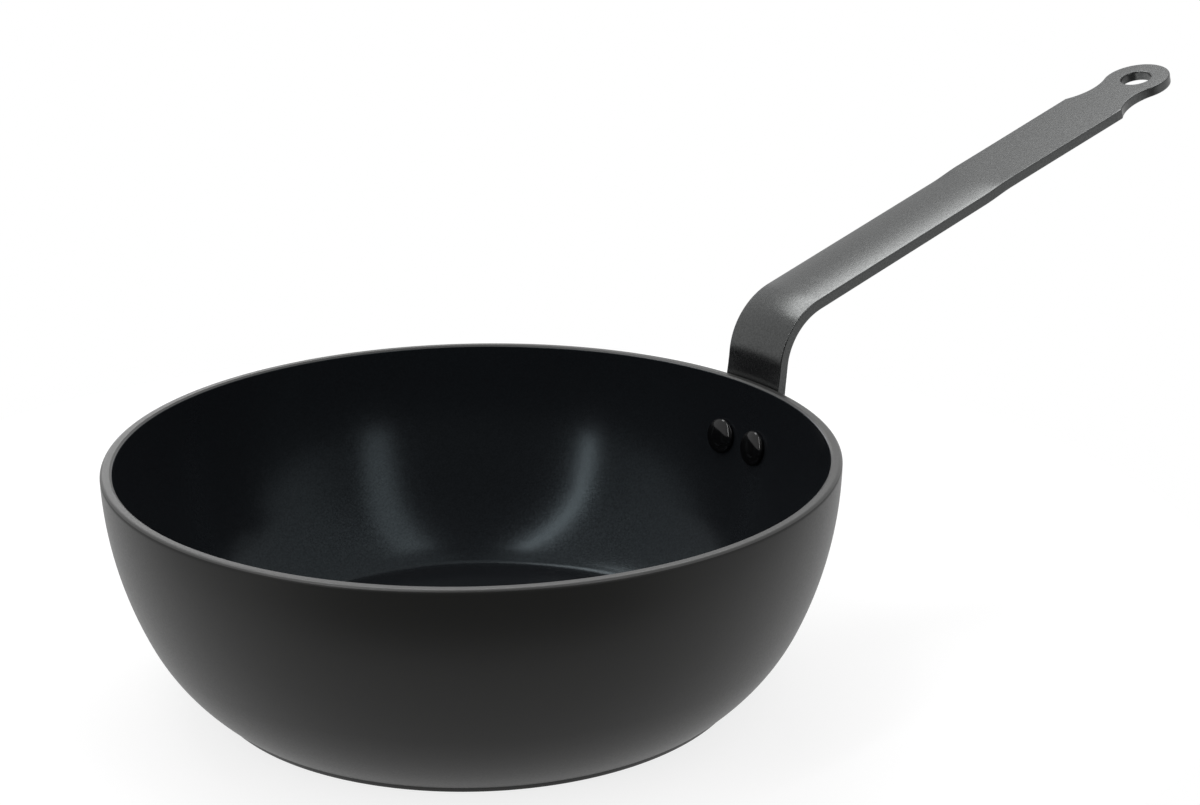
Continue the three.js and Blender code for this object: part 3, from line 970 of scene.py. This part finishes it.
class SAUCIER_OT_rivets(bpy.types.Operator):
    """Turn the rivets that hold the handle and set both through the wall"""

    bl_idname = "saucier.rivets"
    bl_label = "Rivets"

    def execute(self, context):
        pan = context.scene.saucier
        at = worked_out(pan)
        rivet, wall, clearance = pan.rivet, pan.bowl.wall, pan.rivet.clearance
        # The wall is hollow inside, so a flat head stands off by the depth of its curve.
        sag = rivet.inner_head_radius**2 / (2 * (at.rivet_wall - wall))
        inner = -(wall + clearance + sag)
        outer = pan.handle.thickness + 2 * clearance
        inner_head = head_outline(rivet, rivet.inner_head_radius, rivet.inner_head_height)
        outer_head = head_outline(rivet, rivet.outer_head_radius, rivet.outer_head_height)
        outline = [
            Vector((0, inner - rivet.inner_head_height)),
            *(Vector((point.x, inner - point.y)) for point in reversed(inner_head)),
            Vector((rivet.inner_head_radius, inner)),
            Vector((rivet.shank_radius, inner)),
            Vector((rivet.shank_radius, outer)),
            Vector((rivet.outer_head_radius, outer)),
            *(Vector((point.x, outer + point.y)) for point in outer_head),
            Vector((0, outer + rivet.outer_head_height)),
        ]
        rivets = rivet_pair("handle_rivets", pan, at, outline, rivet_coat(pan.finish))
        smooth(rivets, crease=radians(50))
        hand_over(rivets, "rivet_black", "rivet_left", "rivet_right")
        return {"FINISHED"}


class SAUCIER_OT_studio(bpy.types.Operator):
    """Set up the pale floor, the soft light and the camera"""

    bl_idname = "saucier.studio"
    bl_label = "Studio"

    def execute(self, context):
        studio = context.scene.saucier.studio
        self.make_camera(context.scene, studio)
        self.make_floor(studio, context.scene.saucier.finish)
        self.make_world(context.scene, studio)
        self.make_lights(studio)
        context.scene.view_settings.view_transform = "Standard"
        return {"FINISHED"}

    def make_camera(self, scene, studio):
        data = bpy.data.cameras.new("camera")
        data.lens = studio.lens
        camera = new_object("camera", data)
        turn = studio.camera_turn
        distance = studio.camera_distance
        place = Vector((-distance * sin(turn), -distance * cos(turn), studio.camera_height))
        camera.matrix_world = (
            Matrix.Translation(place)
            @ Matrix.Rotation(-turn - studio.camera_yaw, 4, "Z")
            @ Matrix.Rotation(pi / 2 - studio.camera_pitch, 4, "X")
            @ Matrix.Rotation(studio.camera_roll, 4, "Z")
        )
        scene.camera = camera

    def make_floor(self, studio, finish):
        """A sheet of white paper that ends a little in front of the pan, where the dark room begins.

        It is cut out under the foot, so that the underside shows from below.
        """
        shift = studio.floor_radius - studio.floor_front
        middle = Vector((shift * sin(studio.camera_turn), shift * cos(studio.camera_turn), 0))
        sheet = bmesh.new()
        for place, radius in ((middle, studio.floor_radius), (Vector(), studio.floor_cut)):
            bmesh.ops.create_circle(sheet, segments=96, radius=radius, matrix=Matrix.Translation(place))
        bmesh.ops.bridge_loops(sheet, edges=sheet.edges[:])
        mesh = bpy.data.meshes.new("floor")
        sheet.to_mesh(mesh)
        sheet.free()
        material = bpy.data.materials.new("white_paper")
        material.use_nodes = True
        tree = material.node_tree
        shader = tree.nodes["Principled BSDF"]
        shader.inputs["Base Color"].default_value = finish.paper
        shader.inputs["Roughness"].default_value = 0.9
        shader.inputs["Emission Color"].default_value = (1, 1, 1, 1)
        # It glows for the camera and in what mirrors it, and sends the pan no light of its own.
        path = add_node(tree, "ShaderNodeLightPath").outputs
        glow = path["Is Camera Ray"]
        for operation, value in (
            ("MAXIMUM", path["Is Glossy Ray"]),
            ("MAXIMUM", path["Is Transmission Ray"]),
            ("MULTIPLY", studio.floor_glow),
        ):
            worked = add_node(tree, "ShaderNodeMath", {0: glow, 1: value}, operation=operation)
            glow = worked.outputs["Value"]
        tree.links.new(glow, shader.inputs["Emission Strength"])
        mesh.materials.append(material)
        floor = new_object("floor", mesh)

    def make_world(self, scene, studio):
        """A dim room, darkest behind the camera, and a white paper sweep low behind the pan.

        The picture's background is white all round, and what mirrors the sweep shows it white too.
        """
        world = bpy.data.worlds.new("studio")
        scene.world = world
        world.use_nodes = True
        tree = world.node_tree
        away = Vector((sin(studio.camera_turn), cos(studio.camera_turn), 0))
        direction = add_node(tree, "ShaderNodeTexCoord").outputs["Generated"]
        rise = add_node(tree, "ShaderNodeSeparateXYZ", {"Vector": direction}).outputs["Z"]
        flat = add_node(tree, "ShaderNodeVectorMath", {0: direction, 1: (1, 1, 0)}, operation="MULTIPLY")
        side = add_node(tree, "ShaderNodeVectorMath", {0: flat.outputs["Vector"]}, operation="NORMALIZE")
        towards = add_node(
            tree, "ShaderNodeVectorMath", {0: side.outputs["Vector"], 1: away}, operation="DOT_PRODUCT"
        ).outputs["Value"]

        # Smooth steps: what they follow, where they start and end, and the level before and after.
        steps = {
            "room": (towards, -0.8, -0.35, 0.13, 0.68),
            "behind": (towards, 0.6, 0.9, 0, 1),
            "low": (rise, 0.4, 0.48, 1, 0),
        }
        level = {}
        for name, (value, start, end, before, after) in steps.items():
            sockets = {"Value": value, "From Min": start, "From Max": end, "To Min": before, "To Max": after}
            stepped = add_node(tree, "ShaderNodeMapRange", sockets, interpolation_type="SMOOTHSTEP")
            level[name] = stepped.outputs["Result"]

        # Mirrored rays see the sweep, low behind the pan, and the camera sees white everywhere.
        path = add_node(tree, "ShaderNodeLightPath").outputs
        strength = path["Is Glossy Ray"]
        for operation, value in (
            ("MAXIMUM", path["Is Transmission Ray"]),
            ("MULTIPLY", level["behind"]),
            ("MULTIPLY", level["low"]),
            ("MAXIMUM", path["Is Camera Ray"]),
            ("MAXIMUM", level["room"]),
        ):
            worked = add_node(tree, "ShaderNodeMath", {0: strength, 1: value}, operation=operation)
            strength = worked.outputs["Value"]
        background = tree.nodes["Background"]
        background.inputs["Color"].default_value = (1, 1, 1, 1)
        tree.links.new(strength, background.inputs["Strength"])

    def make_lights(self, studio):
        """Soft lights, each aimed at the pan.

        A light has its turn to the camera's right, its rise and its lean in degrees, its distance from the
        pan, its width and its height in metres, and its radiance.
        """
        lights = {
            "right_strip": (41.5, 44, 11, 1.2, 0.22, 1.6, 2.1),
            "left_strip": (-46.5, 46, -6, 1.2, 0.065, 1.6, 11.0),
            "back_softbox": (191, 58.2, -18, 1.65, 1.6, 0.42, 4.1),
            "left_card": (199, 19, 0, 1.3, 0.5, 0.25, 1.8),
        }
        for name, (turn, rise, lean, distance, width, height, radiance) in lights.items():
            data = bpy.data.lights.new(name, "AREA")
            data.shape = "RECTANGLE"
            data.size, data.size_y = width, height
            data.energy = radiance * pi * width * height
            light = new_object(name, data)
            around = -pi / 2 - studio.camera_turn + radians(turn)
            level = distance * cos(radians(rise))
            place = Vector((level * cos(around), level * sin(around), distance * sin(radians(rise))))
            aim = place.to_track_quat("Z", "Y").to_matrix().to_4x4()
            light.matrix_world = Matrix.Translation(place) @ aim @ Matrix.Rotation(radians(-lean), 4, "Z")
            light.visible_camera = False


class SAUCIER_PT_pan(bpy.types.Panel):
    """Pieces of the saucier and what can be changed on them"""

    bl_idname = "SAUCIER_PT_pan"
    bl_label = "Saucier"
    bl_space_type = "VIEW_3D"
    bl_region_type = "UI"
    bl_category = "Saucier"

    def draw(self, context):
        pan = context.scene.saucier
        for operator in OPERATORS:
            self.layout.operator(operator.bl_idname)
        for group in (pan.bowl, pan.plate, pan.handle, pan.rivet, pan.finish, pan.studio):
            box = self.layout.box()
            for name in group.__annotations__:
                box.prop(group, name)


OPERATORS = (
    SAUCIER_OT_bowl,
    SAUCIER_OT_base_plate,
    SAUCIER_OT_handle,
    SAUCIER_OT_rivets,
    SAUCIER_OT_studio,
)
CLASSES = (
    BowlSizes,
    PlateSizes,
    HandleSizes,
    RivetSizes,
    Finishes,
    StudioSizes,
    Saucier,
    *OPERATORS,
    SAUCIER_PT_pan,
)


def register():
    for kind in CLASSES:
        bpy.utils.register_class(kind)
    bpy.types.Scene.saucier = PointerProperty(type=Saucier)


def unregister():
    del bpy.types.Scene.saucier
    for kind in reversed(CLASSES):
        bpy.utils.unregister_class(kind)


def main():
    register()
    bpy.ops.saucier.studio()
    bpy.ops.saucier.bowl()
    bpy.ops.saucier.base_plate()
    bpy.ops.saucier.handle()
    bpy.ops.saucier.rivets()


if __name__ == "__main__":
    main()
